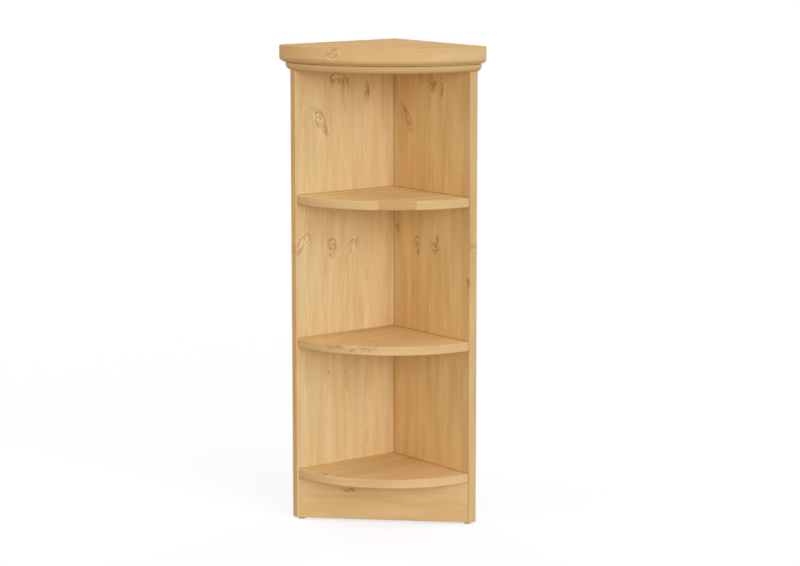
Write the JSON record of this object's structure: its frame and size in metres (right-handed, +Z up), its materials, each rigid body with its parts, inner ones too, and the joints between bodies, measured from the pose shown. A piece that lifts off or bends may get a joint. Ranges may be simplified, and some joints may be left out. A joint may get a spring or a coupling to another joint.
{
  "type": "corner shelf unit",
  "caption": "Free-standing pine corner shelf unit: side panels butted in a corner, quarter-round shelves, a straight plinth and a moulded quarter-round cornice and top.",
  "frame": {"origin": "middle of the footprint, on the floor under the glides", "axes": "+Z up; the left panel's outer face looks to -X, the right panel's outer face looks to +Y, and the open front looks to +X and -Y"},
  "size_m": [0.29, 0.29, 0.96],
  "materials": {
    "lacquered_pine": "clear satin lacquer on knotty glued pine",
    "beech_dowel": "raw fluted beech",
    "zinc_plated_steel": "bright zinc plating",
    "glide_plastic": "moulded beige polyethylene"
  },
  "bodies": {
    "root": {"left_panel": "lacquered_pine", "right_panel": "lacquered_pine", "bottom_shelf": "lacquered_pine", "middle_shelf": "lacquered_pine", "upper_shelf": "lacquered_pine", "plinth_board": "lacquered_pine", "cornice_board": "lacquered_pine", "top_board": "lacquered_pine", "bottom_shelf_screws": "zinc_plated_steel", "middle_shelf_screws": "zinc_plated_steel", "upper_shelf_screws": "zinc_plated_steel", "corner_joint_screws": "zinc_plated_steel", "cornice_screws": "zinc_plated_steel", "top_board_screws": "zinc_plated_steel", "plinth_bracket_screws": "zinc_plated_steel", "plinth_left_bracket": "zinc_plated_steel", "plinth_right_bracket": "zinc_plated_steel", "glide_nails": "zinc_plated_steel", "bottom_shelf_dowels": "beech_dowel", "middle_shelf_dowels": "beech_dowel", "upper_shelf_dowels": "beech_dowel", "corner_joint_dowels": "beech_dowel", "cornice_dowels": "beech_dowel", "plinth_dowels": "beech_dowel", "left_front_glide": "glide_plastic", "left_rear_glide": "glide_plastic", "right_front_glide": "glide_plastic", "right_rear_glide": "glide_plastic"}
  },
  "joints": []
}
